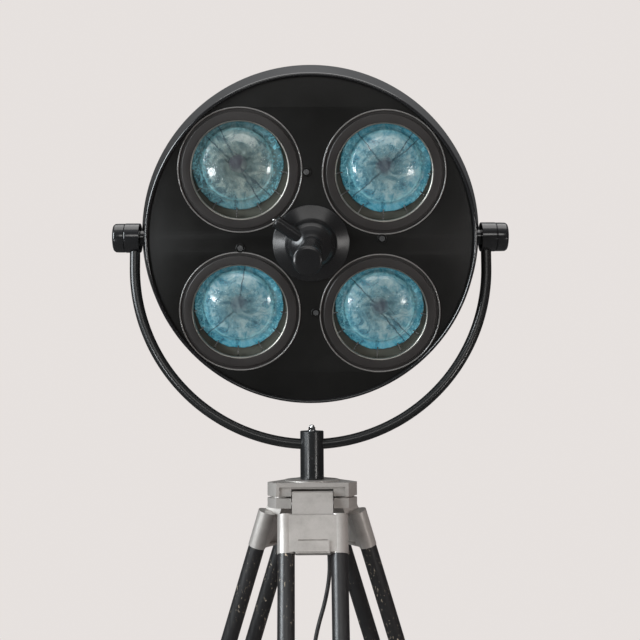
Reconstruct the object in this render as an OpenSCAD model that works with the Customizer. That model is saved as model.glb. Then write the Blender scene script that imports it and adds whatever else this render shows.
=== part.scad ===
// Tripod floor lamp: a round lamp head with four heat-glass lenses, hung on
// trunnions in a tubular yoke, on a surveyor-pattern tripod with double-rail
// legs.  Millimetres, +Z up, the lamp faces -Y.  The origin is on the floor,
// under the middle of the footprint.

/* [Lamp head] */
// Radius of the widest ring of the lamp head
head_r = 290.4; // [286:0.1:290.6]
// Radius of the crest of the front lip
lip_r = 274; // [273:0.5:275]
// Distance from the head's axis to the middle of each lens
lens_pitch = 167.7; // [160:0.1:168]
// Radius of each lens opening in the face plate
lens_hole_r = 100.2; // [99:0.1:100.6]
// Outer radius of the lens bezels
bezel_r = 95.6; // [94:0.1:98]
// Clear radius of the lens bezels
aperture_r = 79; // [78:0.5:83]
// Height of the heat glasses above the middle of their bezels
glass_rise = 9.6; // [0:0.1:10]
// Angle the face is turned down from upright
head_tilt = 16.6; // [0:0.1:35]
// Distance of the head's axis below the trunnion axis
head_drop = 3; // [0:0.5:4]
// Radius of the circle of face screws
face_screw_pitch = 118.4; // [114:0.1:122]
// Angle of the first face screw above the horizontal
face_screw_turn = 3.7; // [0:0.1:8]

/* [Hub and handle] */
// Radius of the bell-shaped hub
hub_r = 64.6; // [60:0.1:64.8]
// Length of the grip in front of the hub
grip_len = 131; // [90:1:150]
// Radius of the grip at its tip
grip_tip_r = 22.8; // [20:0.1:24]
// Lean of the grip to the lamp's left
grip_lean = 2.9; // [0:0.1:4]
// Radius of the focus lever
lever_r = 11; // [8:0.5:11]
// Reach of the focus lever from the head's axis
lever_reach = 71; // [60:1:76]
// Direction of the focus lever, counter-clockwise from the right
lever_turn = 145; // [120:1:170]

/* [Yoke and post] */
// Half distance between the yoke's arms
yoke_r = 300.5; // [300:0.5:304]
// Radius of the yoke tube
yoke_tube_r = 8.75; // [8:0.25:9]
// Drop from the trunnion axis to the bottom of the yoke
yoke_drop = 352; // [345:1:370]
// Radius of the pivot barrels
barrel_r = 25; // [23:0.5:27]
// Radius of the post
post_r = 19.8; // [19:0.1:21]
// Height of the post's top above the tripod plate
post_top = 83; // [78:1:90]

/* [Tripod] */
// Height of the tripod plate above the floor
plate_z = 1161.5; // [1140:0.5:1190]
// Radius of the tripod plate between its flats
plate_r = 78.5; // [77:0.5:80]
// Distance from the tripod axis to each flat of the plate
plate_flat = 51.45; // [51:0.05:53]
// Angle of each leg from the vertical
leg_spread = 19.15; // [17:0.05:21]
// Distance between the two rails of a leg
rail_gap = 85; // [82:1:88]
// Radius of the rails
rail_r = 13.75; // [12.5:0.25:14]
// Length of the rails below the shoulder
rail_len = 767; // [700:1:784]

/* [Cord] */
// Diameter of the mains cord
cord_d = 7; // [6:0.5:7]

/* [Hidden] */
$fn = 96;

// the lamp and tripod share one vertical axis, set back so that the footprint
// is centred on the origin
axis_y = 107.2;
cross_drop = 22.5;                  // yoke tube below the top of the post
trunnion_z = plate_z + post_top - cross_drop + yoke_drop;
face_z = 49;                        // front of the face plate, along the axis
hinge_r = 42;                       // leg hinges from the tripod axis
hinge_z = plate_z - 34.5;
rail_x = 14.5;                      // rails outward of the hinge axis
leg_az = [-90, 30, 150];
lens_az = [134, 44, -46, 224];      // upper left, upper right, lower right, lower left
bracket_az = [135, 45, -48, 0];
tip_len = (hinge_z + rail_x*sin(leg_spread))/cos(leg_spread);

black = "#1b1b1c";
satin_black = "#2c2b2b";
cast = "#a9a7a2";
steel = "#b9bbbd";

// ---------------------------------------------------------------- frames
// head frame: x right, y up, z out of the face
module head_frame()
    translate([0, axis_y, trunnion_z]) rotate([head_tilt, 0, 0])
        rotate([90, 0, 0]) translate([0, -head_drop, 0]) children();
module at_lenses()
    for (i = [0:3]) rotate(lens_az[i]) translate([lens_pitch, 0, 0])
        rotate(-lens_az[i]) children();
// each glass stands a little to one side in its bezel
glass_side = [-4.6, 3.1, 0.2, -2.6];
glass_z = 14;
module at_glass(i) rotate(lens_az[i]) translate([lens_pitch, 0, 0]) rotate(-lens_az[i])
    translate([glass_side[i], glass_rise, glass_z]) children();
module at_glasses() for (i = [0:3]) at_glass(i) children();
module yoke_frame() translate([0, axis_y, trunnion_z]) children();
module tripod_frame() translate([0, axis_y, plate_z]) children();
// leg frame: x outward, y sideways, z up along the leg, origin on the hinge
module leg_frame(i)
    translate([0, axis_y, hinge_z]) rotate(leg_az[i-1])
        translate([hinge_r, 0, 0]) rotate([0, -leg_spread, 0]) children();

// arc of n+1 points for turned outlines
function arc(cx, cy, r, a0, a1, n) =
    [for (k = [0:n]) let (a = a0 + (a1 - a0)*k/n) [cx + r*cos(a), cy + r*sin(a)]];
// slanted wall of the front ring: radius at a distance z along the axis
function wall_r(z) = head_r - (head_r - lip_r - 2.6)*(z + 12)/66;

// ---------------------------------------------------------------- lamp head
module housing_shell() {
    color(black) head_frame() difference() {
        rotate_extrude($fn = 180) polygon(concat(
            [[head_r, -15.6], [head_r, -18], [head_r - 1.5, -21]],
            [[284, -33], [272, -48], [252, -63], [220, -78], [180, -90],
             [130, -98], [70, -101.5], [62, -102]],
            [[62, -99.5], [70, -99], [130, -95.5], [179, -87.5], [218.5, -75.8],
             [250, -61], [270, -46.2], [281.5, -31.8], [head_r - 4, -20],
             [head_r - 4, -15.6]]));
    }
}
module rim_ring() {
    color(black) head_frame() difference() {
        rotate_extrude($fn = 180) polygon(concat(
            [[head_r, -15.4], [head_r, -12]],
            [[wall_r(54), 53.5]],
            arc(lip_r, 53.4, 2.6, 0, 180, 8),
            [[lip_r - 3, 49.15], [lip_r - 0.6, 49.15], [lip_r - 0.4, 51.5]],
            [[wall_r(50) - 2.6, 49], [head_r - 3, -12], [head_r - 4, -15.4]]));
        // trunnion holes
        translate([0, head_drop, 0]) rotate([0, 90, 0])
            cylinder(r = 13.1, h = 2*head_r + 20, center = true, $fn = 48);
    }
}
module face_plate() {
    color(black) head_frame() difference() {
        union() {
            translate([0, 0, face_z - 2.5]) cylinder(r = lip_r - 1, h = 2.5, $fn = 180);
            // rolled bead round each lens opening
            at_lenses() rotate_extrude() polygon(concat(
                [[lens_hole_r, face_z - 1]],
                [for (p = arc(lens_hole_r + 1.2, face_z + 0.4, 1.2, 180, 0, 6)) p],
                [[lens_hole_r + 2.4, face_z - 1]]));
            // raised cup round each face screw
            for (k = [0:3]) rotate(face_screw_turn + 90*k)
                translate([face_screw_pitch, 0, face_z - 1])
                    cylinder(r = 8, h = 2.4, $fn = 40);
        }
        at_lenses() translate([0, 0, face_z - 5]) cylinder(r = lens_hole_r, h = 10, $fn = 120);
        translate([0, 0, face_z - 5]) cylinder(r = 12, h = 10);
        for (k = [0:3]) rotate(face_screw_turn + 90*k)
            translate([face_screw_pitch, 0, face_z - 5]) {
                cylinder(r = 2.7, h = 10, $fn = 32);
                translate([0, 0, 5.4]) cylinder(r = 6, h = 3, $fn = 40);
            }
    }
}
module lens_bezels() {
    color(satin_black) head_frame() {
        at_lenses() rotate_extrude($fn = 120) polygon([
            [aperture_r, 43], [aperture_r, 50], [aperture_r + 0.8, 50.8],
            [bezel_r - 0.8, 50.8], [bezel_r, 50], [bezel_r, 46.5],
            [bezel_r + 8, 46.5], [bezel_r + 8, 43.5], [91, 43.5], [91, 21],
            [88.4, 21], [88.4, 45], [aperture_r + 3, 45], [aperture_r + 3, 43]]);
        // ledge each glass stands on
        difference() {
            at_lenses() translate([0, 0, 21]) cylinder(r = 89, h = 7, $fn = 120);
            at_glasses() translate([0, 0, 5]) cylinder(r = 73.5, h = 12, $fn = 120);
        }
    }
}
module lens_glasses() {
    color([0.35, 0.62, 0.68, 0.6]) head_frame() at_glasses()
        rotate_extrude($fn = 120) polygon([
            [0, 31], [20, 30.4], [36, 28], [48, 24], [55, 19.6], [58, 15.4],
            [61, 14], [76.2, 14], [76.8, 15], [76.8, 18], [75.2, 19.4], [64, 19.4],
            [61, 21.5], [58.5, 25], [50, 29.2], [37, 33.2], [20, 35.6], [0, 36.2]]);
}
module glass_clips() {
    color(steel) head_frame() for (i = [0:3]) at_glass(i)
        for (a = [188, 213, 240, 268, 296, 324, 350]) rotate(a) {
            // reach of the clip from the glass to the tube's wall
            q = -glass_rise*sin(a) - glass_side[i]*cos(a);
            w = q + sqrt(88.4*88.4 - pow(glass_rise, 2) - pow(glass_side[i], 2) + q*q);
            translate([71.6, -0.9, 19.6]) cube([w - 70.8, 1.8, 1]);
            translate([w - 1.6, -0.9, 19.6]) cube([2.2, 1.8, 7]);
        }
}
module reflectors() {
    color("#c8cdd0") head_frame() at_glasses() rotate_extrude($fn = 96)
        polygon(concat(
            [for (k = [0:12]) let (r = 74*k/12) [r, -43.1 + 50*pow(r/74, 2)]],
            [[79, 7], [79, 5.8], [75, 5.8]],
            [for (k = [12:-1:0]) let (r = 74*k/12) [r, -44.7 + 50*pow(r/74, 2)]]));
}
module lamp_brackets() {
    color("#3a3b3d") head_frame() for (i = [0:3]) at_glass(i) rotate(bracket_az[i]) {
        for (s = [-1, 1]) translate([10, s*9.5, 11.2]) rotate([0, 90, 0])
            cylinder(r = 1.4, h = 66, $fn = 20);
        difference() {
            translate([0, 0, 9.5]) cylinder(r = 14.5, h = 3.8, $fn = 48);
            translate([0, 0, 9]) cylinder(r = 11.05, h = 5, $fn = 48);
        }
    }
}
module lamp_sockets() {
    color("#d9d4c6") head_frame() at_glasses() {
        translate([0, 0, -6]) cylinder(r = 11, h = 19.4, $fn = 48);
        translate([0, 0, -6]) cylinder(r = 13, h = 8, $fn = 48);
    }
}
module lamp_bulbs() {
    color("#e9e6da") head_frame() at_glasses() {
        translate([0, 0, -12]) cylinder(r = 7, h = 6, $fn = 40);
        translate([0, 0, -20]) sphere(r = 10.5, $fn = 48);
    }
}
module bulb_shields() {
    color("#4c4a55") head_frame() at_glasses() rotate_extrude($fn = 48) polygon([
        [0, 13.4], [15.5, 13.4], [16, 14], [15.4, 16], [10, 18.4], [0, 19.4]]);
}
module face_screws() {
    color("#35342f") head_frame() for (k = [0:3]) rotate(face_screw_turn + 90*k)
        translate([face_screw_pitch, 0, 0]) difference() {
            union() {
                translate([0, 0, 26]) cylinder(r = 2.5, h = 24, $fn = 32);
                translate([0, 0, face_z + 0.4]) cylinder(r = 4.6, h = 2, $fn = 32);
            }
            rotate(30 + 50*k) translate([-6, -0.55, face_z + 1.4]) cube([12, 1.1, 3]);
        }
}
module hub_base() {
    color(black) head_frame() difference() {
        union() {
            translate([0, 0, face_z]) cylinder(r = 34, h = 5);
            translate([0, 0, face_z]) cylinder(r = 18, h = 15);
            translate([0, 0, 37]) cylinder(r = 24, h = 9.5);
            translate([0, 0, 44]) cylinder(r = 11.9, h = 8);
        }
        translate([0, 0, 30]) cylinder(r = 8.05, h = 50, $fn = 64);
    }
}
module trunnion_pins() {
    color(steel) head_frame() translate([0, head_drop, 0]) for (s = [0, 1])
        mirror([s, 0, 0]) {
            translate([255, -22, -12]) cube([24, 44, 24]);
            translate([278, 0, 0]) rotate([0, 90, 0]) cylinder(r = 13, h = 12.5, $fn = 48);
            translate([290, 0, 0]) rotate([0, 90, 0]) cylinder(r = 8, h = 36, $fn = 64);
        }
}
module pivot_nuts() {
    color(steel) head_frame() translate([0, head_drop, 0]) for (s = [0, 1])
        mirror([s, 0, 0]) translate([317.2, 0, 0]) rotate([0, 90, 0]) difference() {
            cylinder(r = 13.5, h = 7.5, $fn = 6);
            translate([0, 0, -1]) cylinder(r = 8.02, h = 10, $fn = 64);
        }
}
module rear_cap() {
    color(black) head_frame() difference() {
        rotate_extrude($fn = 120) polygon([
            [0, -122], [40, -121], [66, -117], [80, -110], [84, -103.2],
            [84, -101.5], [70, -101.5], [70, -103.4], [78, -105], [64, -114.5],
            [40, -118.5], [0, -119.5]]);
        // cooling slots
        for (a = [0:30:330]) rotate(a) translate([34, -2.5, -130])
            cube([26, 5, 30]);
    }
}
module rear_cap_screws() {
    color(steel) head_frame() for (a = [45:90:315]) rotate(a)
        translate([76, 0, -114.2]) {
            cylinder(r = 3.8, h = 2.6, $fn = 32);
            cylinder(r = 2, h = 17, $fn = 32);
        }
}
module terminal_block() {
    color("#e6e1d2") head_frame() difference() {
        translate([-30, -118, -97.4]) cube([60, 22, 18]);
        for (k = [-2:2]) translate([k*11, -107, -87.4]) {
            cylinder(r = 3, h = 10, $fn = 24);
            rotate([90, 0, 0]) cylinder(r = 2, h = 40, center = true, $fn = 24);
        }
    }
}

// ---------------------------------------------------------------- focus hub
module hub_bell() {
    color(black) head_frame() difference() {
        rotate_extrude($fn = 120) polygon([
            [hub_r - 3, face_z + 0.6], [hub_r - 0.6, face_z + 0.6],
            [hub_r, face_z + 1.4], [hub_r, 52.5], [43, 60], [42.3, 61.2],
            [41, 66], [38, 72], [33, 78], [27, 83], [21, 87], [17.5, 90],
            [17, 93], [7.9, 93], [7.9, 72], [24, 71.5], [31, 69], [36.5, 63.5],
            [39, 58], [60, 51.2]]);
        // spindle bore
        translate([0, 0, 40]) cylinder(r = 8.05, h = 60, $fn = 64);
    }
}
// the grip leans a little about its foot
module grip_frame() head_frame() translate([0, 0, 93]) rotate([0.6, -grip_lean, 0])
    translate([0, 0, -93]) children();
module handle_grip() {
    color(black) difference() {
        grip_frame() translate([0, 0, 91]) cylinder(r1 = 15.4, r2 = grip_tip_r, h = grip_len - 2);
        head_frame() translate([0, 0, 83]) cylinder(r = 40, h = 10);
        head_frame() translate([0, 0, 90]) cylinder(r = 8.05, h = 42, $fn = 64);
    }
}
module handle_cap() {
    color(black) grip_frame() translate([0, 0, 89 + grip_len]) rotate_extrude()
        polygon(concat([[0, 0], [grip_tip_r, 0], [grip_tip_r, 3]],
            arc(grip_tip_r - 3, 3.4, 3, 0, 80, 5), [[grip_tip_r - 4, 6.6], [0, 7]]));
}
module focus_lever() {
    color(black) head_frame() rotate(lever_turn) translate([20, 0, 76])
        rotate([0, 90, 0]) rotate_extrude($fn = 48) polygon([[0, 0], [lever_r - 1, 0],
            [lever_r, 4], [lever_r, lever_reach - 21.5], [lever_r - 1.5, lever_reach - 20],
            [0, lever_reach - 20]]);
}
module lever_tip() {
    color(steel) head_frame() rotate(lever_turn) translate([lever_reach, 0, 76])
        rotate([0, 90, 0]) rotate_extrude($fn = 32) polygon([[0, 0], [2.6, 0],
            [2.6, 4], [1.8, 5], [0, 5]]);
}
module focus_spindle() {
    color(steel) head_frame() {
        translate([0, 0, 14]) cylinder(r = 8, h = 117.5, $fn = 64);
        translate([0, 0, 30]) cylinder(r = 22, h = 6);
        translate([0, 0, 16]) cylinder(r = 12, h = 4, $fn = 48);
    }
}

// ---------------------------------------------------------------- yoke
arm_len = yoke_drop - yoke_r;
module tube_ring() difference() {
    circle(r = yoke_tube_r, $fn = 48);
    circle(r = yoke_tube_r - 2, $fn = 48);
}
module yoke_tube() {
    color(black) yoke_frame() {
        translate([0, 0, -arm_len]) rotate([-90, 0, 0])
            rotate_extrude(angle = 180, $fn = 180) translate([yoke_r, 0]) tube_ring();
        for (s = [-1, 1]) translate([s*yoke_r, 0, -arm_len])
            linear_extrude(arm_len - 19.5) tube_ring();
    }
}
module pivot_barrels() {
    color(black) yoke_frame() for (s = [0, 1]) mirror([s, 0, 0])
        rotate([0, 90, 0]) rotate_extrude() polygon([
            [14, 291], [barrel_r - 1, 291], [barrel_r, 292],
            [barrel_r, 315.5], [barrel_r - 0.8, 316.3], [14, 316.3]]);
}
module pivot_caps() {
    color(black) yoke_frame() for (s = [0, 1]) mirror([s, 0, 0])
        rotate([0, 90, 0]) rotate_extrude() polygon([
            [barrel_r - 1, 316.9], [barrel_r - 0.4, 317.5], [barrel_r - 1, 326],
            [barrel_r - 2.6, 332], [barrel_r - 5.5, 335.2], [12, 336.4], [0, 336.8],
            [0, 328.5], [17.5, 328.5], [17.5, 316.3], [barrel_r - 2, 316.3],
            [barrel_r - 2, 316.9]]);
}
module pivot_bushes() {
    color("#b79a5b") yoke_frame() for (s = [0, 1]) mirror([s, 0, 0])
        translate([293, 0, 0]) rotate([0, 90, 0]) difference() {
            cylinder(r = 13.95, h = 23.4, $fn = 64);
            translate([0, 0, -1]) cylinder(r = 8.06, h = 30, $fn = 64);
        }
}
module post_tube() {
    color(black) tripod_frame() difference() {
        rotate_extrude() polygon([[0, 1.9], [post_r, 1.9], [post_r, post_top - 1],
            [post_r - 1, post_top], [0, post_top]]);
        translate([0, 0, 1]) cylinder(r = 16.05, h = 48.5, $fn = 64);
        translate([0, 0, post_top - cross_drop]) rotate([0, 90, 0])
            cylinder(r = yoke_tube_r, h = 60, center = true, $fn = 48);
        translate([0, 0, post_top - 12]) cylinder(r = 3, h = 20, $fn = 32);
        // threaded hole for the set screw
        translate([-1.6, -10, 38.3]) rotate([90, 0, 0]) cylinder(r = 3.3, h = 20, $fn = 32);
    }
}
module post_nut() {
    color(steel) tripod_frame() {
        translate([0, 0, post_top + 1.4]) cylinder(r = 5.8, h = 4.6, $fn = 6);
        translate([0, 0, post_top + 1.4]) rotate_extrude($fn = 40) polygon([[0, 3],
            [4.6, 4.6], [4.4, 6.4], [3.2, 8.2], [0, 9.2]]);
        translate([0, 0, post_top - 11.1]) cylinder(r = 2.95, h = 13, $fn = 32);
    }
}
module post_washer() {
    color(steel) tripod_frame() translate([0, 0, post_top]) difference() {
        cylinder(r = 7.2, h = 1.4, $fn = 48);
        translate([0, 0, -1]) cylinder(r = 3.1, h = 4, $fn = 32);
    }
}
module post_setscrew() {
    color("#2a2a2a") tripod_frame() translate([-1.6, -16.2, 38.3]) rotate([90, 0, 0])
        difference() {
            cylinder(r = 3.2, h = 1.2, $fn = 32);
            translate([0, 0, 0.5]) cylinder(r = 1.6, h = 3, $fn = 6);
        }
}

// ---------------------------------------------------------------- tripod head
module plate_outline() intersection() {
    circle(r = plate_r, $fn = 120);
    polygon([for (a = [90, 210, 330]) 2*plate_flat*[cos(a), sin(a)]]);
}
// room for a leg's tongue between two corners
module tongue_gap(z0, z1) for (a = leg_az) rotate(a)
    translate([24.6, -34.5, z0]) cube([60, 69, z1 - z0]);
module head_plate() {
    color(cast) tripod_frame() difference() {
        translate([0, 0, -22]) linear_extrude(22) plate_outline();
        tongue_gap(-23, -10);
        // panels sunk under the lip, over each leg
        for (a = leg_az) rotate(a) translate([plate_flat - 3, -54, -23])
            cube([12, 108, 16]);
        translate([0, 0, -30]) cylinder(r = 10, h = 40);
        translate([37, 15, -2.5]) cylinder(r = 4.8, h = 5, $fn = 40);
    }
}
module leg_spider() {
    color(cast) tripod_frame() difference() {
        union() {
            difference() {
                union() {
                    intersection() {
                        translate([0, 0, -41]) linear_extrude(16) plate_outline();
                        for (a = [90, 210, 330]) rotate(a) translate([30, -52, -42])
                            cube([60, 104, 22]);
                    }
                    for (a = [90, 210, 330]) rotate(a) translate([10, -8, -40.3])
                        cube([40, 16, 14.6]);
                }
                tongue_gap(-43, -20);
            }
            for (a = [90, 210, 330]) rotate(a) translate([60, 0, -26])
                cylinder(r = 14, h = 4, $fn = 48);
            translate([0, 0, -40.6]) cylinder(r = 24, h = 18.6);
            translate([0, 0, -48]) cylinder(r = 33.4, h = 7.4);
        }
        translate([0, 0, -60]) cylinder(r = 10, h = 60);
        // hinge pin holes
        for (a = leg_az) rotate(a) translate([hinge_r, 0, -34.5])
            rotate([90, 0, 0]) cylinder(r = 5.52, h = 113, center = true, $fn = 48);
        // cable hole
        translate([25.6, -4, -60]) cylinder(r = 4, h = 27, $fn = 32);
    }
}
module post_spigot() {
    color("#8d8f90") tripod_frame() difference() {
        union() {
            cylinder(r = 46, h = 1.6, $fn = 120);
            cylinder(r = 16, h = 48, $fn = 64);
        }
        translate([0, 0, -1]) cylinder(r = 8.05, h = 24, $fn = 64);
        translate([37, 15, -1]) cylinder(r = 4.8, h = 5, $fn = 40);
    }
}
module fixing_bolt() {
    color("#6f6f6e") tripod_frame() difference() {
        union() {
            translate([0, 0, -50]) cylinder(r = 8, h = 68, $fn = 64);
            translate([0, 0, -62]) cylinder(r = 17, h = 14);
        }
        for (a = [0:30:330]) rotate(a) translate([17.6, 0, -63])
            cylinder(r = 1.8, h = 16, $fn = 16);
    }
}
gland = [25.6, -4];
module cable_gland() {
    color("#161616") tripod_frame() translate([gland[0], gland[1], 0])
        rotate_extrude($fn = 48) polygon([[3.6, -44.6], [3.9, -44.6], [3.9, -48],
            [7, -48], [7, -54], [6.2, -55.5], [5.8, -60], [4.6, -84], [0, -84], [0, -80], [3.6, -80]]);
}
module hinge_pins() {
    color(steel) tripod_frame() for (a = leg_az) rotate(a)
        translate([hinge_r, 0, -34.5]) rotate([90, 0, 0])
            cylinder(r = 5.5, h = 112, center = true, $fn = 48);
}

// ---------------------------------------------------------------- legs
foot_z = -84.7;                     // lower end of the shoulder's sockets
module shoulder(i) {
    color(cast) leg_frame(i) difference() {
        union() {
            // tongue, hinged between the corners of the tripod head
            rotate([90, 0, 0]) cylinder(r = 10, h = 66, center = true, $fn = 64);
            rotate([90, 0, 0]) linear_extrude(66, center = true) polygon([
                [-5, -24], [-5, 8.6], [-1, 10], [12, 16], [19, 16], [22, 13], [23.5, -24]]);
            // body between the sockets
            rotate([90, 0, 0]) linear_extrude(rail_gap, center = true) polygon([
                [1.5, foot_z + 2], [1.5, -27], [4.5, -22], [25.5, -22], [28.5, -25],
                [28.5, foot_z + 2]]);
            for (s = [-1, 1]) translate([rail_x, s*rail_gap/2, foot_z])
                cylinder(r = rail_r + 0.9, h = 62.7, $fn = 64);
            // raised pad and foot lip
            translate([20, -26, foot_z + 1]) cube([12.5, 52, 17.4]);
            translate([12, -27.5, foot_z - 1]) cube([17.8, 55, 3.6]);
        }
        // slit above the pad
        translate([24.6, -23.5, foot_z + 18.4]) cube([12, 47, 2.3]);
        for (s = [-1, 1]) translate([rail_x, s*rail_gap/2, foot_z - 6])
            cylinder(r = 10.95, h = 46, $fn = 48);
        rotate([90, 0, 0]) cylinder(r = 5.56, h = 80, center = true, $fn = 48);
        // hollow back of the casting
        translate([-6, -27, foot_z + 6]) cube([14, 54, 40]);
    }
}
module rails(i) {
    color(black) leg_frame(i) for (s = [-1, 1])
        translate([rail_x, s*rail_gap/2, 0]) {
            translate([0, 0, foot_z - 0.1 - rail_len]) cylinder(r = rail_r, h = rail_len, $fn = 64);
            translate([0, 0, foot_z - 26.1 - rail_len]) cylinder(r = 10.9, h = rail_len + 64, $fn = 48);
        }
}
clamp_top = foot_z - 0.3 - rail_len;
module leg_clamp(i) {
    color(cast) leg_frame(i) difference() {
        union() {
            for (s = [-1, 1]) translate([rail_x, s*rail_gap/2, clamp_top - 46])
                cylinder(r = rail_r + 2.2, h = 46, $fn = 64);
            translate([rail_x - 18, -26, clamp_top - 74]) cube([36, 52, 74]);
            translate([rail_x - 9, -rail_gap/2, clamp_top - 40]) cube([18, rail_gap, 34]);
            translate([rail_x + 10, 0, clamp_top - 38]) rotate([0, 90, 0])
                cylinder(r = 11, h = 19, $fn = 48);
        }
        translate([rail_x - 13.35, -20.35, clamp_top - 80]) cube([26.7, 40.7, 90]);
        for (s = [-1, 1]) translate([rail_x, s*rail_gap/2, clamp_top - 30])
            cylinder(r = 10.95, h = 40, $fn = 48);
        translate([rail_x, 0, clamp_top - 38]) rotate([0, 90, 0])
            cylinder(r = 5.06, h = 40, $fn = 48);
    }
}
module clamp_screw(i) {
    color(steel) leg_frame(i) translate([rail_x, 0, clamp_top - 38]) rotate([0, 90, 0]) {
        translate([0, 0, 13.4]) cylinder(r = 5, h = 24, $fn = 48);
        translate([0, 0, 30]) cylinder(r = 9, h = 8, $fn = 48);
        hull() for (s = [-1, 1]) translate([0, s*17, 38]) cylinder(r = 4.5, h = 4, $fn = 32);
        for (s = [-1, 1]) hull() {
            translate([0, s*10, 40]) cylinder(r = 3, h = 3, $fn = 32);
            translate([0, s*21, 46]) cylinder(r = 4, h = 4, $fn = 32);
        }
    }
}
module lower_leg(i) {
    color(black) leg_frame(i) {
        translate([rail_x - 13, -20, -tip_len + 66]) cube([26, 40, 690]);
        translate([rail_x - 15, -28.2, -tip_len + 750]) cube([30, 56.4, 34]);
    }
}
module shoe(i) {
    color("#7d7c79") difference() {
        leg_frame(i) difference() {
            union() {
                translate([rail_x - 17, -24, -tip_len + 60]) cube([34, 48, 66]);
                translate([rail_x, 0, -tip_len - 12]) cylinder(r1 = 5.4, r2 = 16.6, h = 74, $fn = 64);
                // step
                translate([rail_x + 10, -13, -tip_len + 78]) cube([27, 26, 7]);
                translate([rail_x + 14, -3, -tip_len + 62]) cube([14, 6, 18]);
            }
            translate([rail_x - 13.05, -20.05, -tip_len + 66]) cube([26.1, 40.1, 80]);
        }
        translate([-900, -900, -100]) cube([1800, 1800, 100]);
    }
}
module shoulder_1() shoulder(1);
module rails_1() rails(1);
module leg_clamp_1() leg_clamp(1);
module lower_leg_1() lower_leg(1);
module shoe_1() shoe(1);
module clamp_screw_1() clamp_screw(1);
module shoulder_2() shoulder(2);
module rails_2() rails(2);
module leg_clamp_2() leg_clamp(2);
module lower_leg_2() lower_leg(2);
module shoe_2() shoe(2);
module clamp_screw_2() clamp_screw(2);
module shoulder_3() shoulder(3);
module rails_3() rails(3);
module leg_clamp_3() leg_clamp(3);
module lower_leg_3() lower_leg(3);
module shoe_3() shoe(3);
module clamp_screw_3() clamp_screw(3);

// ---------------------------------------------------------------- mains cord
coil_c = [0, axis_y + 125];         // middle of the coil on the floor
coil_in = 26.5;                     // inner radius of the coil
coil_out = 47.5;                    // outer radius of the coil
coil_h = 20;
// drop from the gland to the floor, then back between the legs to the coil
run_a = [[25.6, axis_y - 4, 1076], [25.8, axis_y - 4, 1062], [27.4, axis_y - 4, 1046],
    [28.4, axis_y - 4, 1028], [28, axis_y - 4, 1008], [25, axis_y - 4, 984],
    [19, axis_y - 3, 956], [11, axis_y - 2, 928], [4.5, axis_y - 1, 900],
    [1, axis_y, 870], [-1, axis_y, 835], [-2, axis_y, 780], [-2, axis_y, 700],
    [-1, axis_y, 600], [0, axis_y, 480], [1, axis_y, 360], [1, axis_y, 240],
    [0, axis_y + 1, 150], [0, axis_y + 2, 90], [0, axis_y + 7, 52],
    [-1, axis_y + 18, 25], [-2, axis_y + 34, 9], [-5, axis_y + 53, 4.2],
    [-14, axis_y + 70, 3.8], [-29, axis_y + 84, 3.8], [-40.5, axis_y + 98, 3.8],
    [-44, axis_y + 113, 3.8], [-44, axis_y + 126, 3.8]];
// from the coil to the plug
run_b = [[-46, axis_y + 142, 17.2], [-43, axis_y + 165, 17.6], [-35, axis_y + 185, 18.2],
    [-21, axis_y + 201, 18.8], [-4, axis_y + 209, 19], [12, axis_y + 211, 19]];
plug_p = [12, axis_y + 211, 19];
function unit(v) = v/norm(v);
// point and direction on a smooth curve through the route's points
function pick(p, i) = p[max(0, min(len(p) - 1, i))];
function spline(p, i, t) = let (a = pick(p, i - 1), b = p[i], c = p[i + 1], d = pick(p, i + 2))
    0.5*(2*b + (c - a)*t + (2*a - 5*b + 4*c - d)*t*t + (3*b - a - 3*c + d)*t*t*t);
function route(p, m) = concat([for (i = [0:len(p) - 2]) for (k = [0:m - 1]) spline(p, i, k/m)],
    [p[len(p) - 1]]);
module tube(p, r, n = 8) {
    side = [0, 1, 0.02];
    rings = [for (i = [0:len(p) - 1])
        let (t = unit(pick(p, i + 1) - pick(p, i - 1)),
             ref = abs(t[1]) > 0.8 ? [0, 0, 1] : side,
             u = unit(cross(t, ref)), v = cross(t, u))
        for (k = [0:n - 1]) p[i] + r*cos(360*k/n)*u + r*sin(360*k/n)*v];
    polyhedron(rings, concat(
        [[for (k = [0:n - 1]) k]],
        [for (i = [0:len(p) - 2]) for (k = [0:n - 1])
            [i*n + k, (i + 1)*n + k, (i + 1)*n + (k + 1)%n, i*n + (k + 1)%n]],
        [[for (k = [n - 1:-1:0]) (len(p) - 1)*n + k]]));
}
module cord_run() {
    color("#151515") {
        tube(route(run_a, 2), cord_d/2);
        tube(route(run_b, 2), cord_d/2);
    }
}
module cord_coil() {
    color("#151515") translate([coil_c[0], coil_c[1], 0.2]) rotate_extrude($fn = 64)
        polygon([[coil_in + 1.5, 0], [coil_out - 1.5, 0], [coil_out, 1.5],
            [coil_out, coil_h - 1.5], [coil_out - 1.5, coil_h],
            [coil_in + 1.5, coil_h], [coil_in, coil_h - 1.5], [coil_in, 1.5]]);
}
module plug_body() {
    color("#1a1a1a") translate(plug_p) rotate([0, 90, 0]) rotate_extrude($fn = 64)
        polygon([[0, 0], [4.6, 0], [6, 12], [8, 26], [13, 32], [17.8, 38],
            [18.8, 42], [18.8, 56], [18, 57.5], [0, 57.5]]);
}
module plug_pins() {
    color(steel) translate(plug_p) rotate([0, 90, 0]) for (s = [-1, 1])
        translate([0, s*9.5, 50]) {
            cylinder(r = 2.4, h = 24.5, $fn = 32);
            translate([0, 0, 24.5]) cylinder(r1 = 2.4, r2 = 1.4, h = 2, $fn = 32);
        }
}

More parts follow.
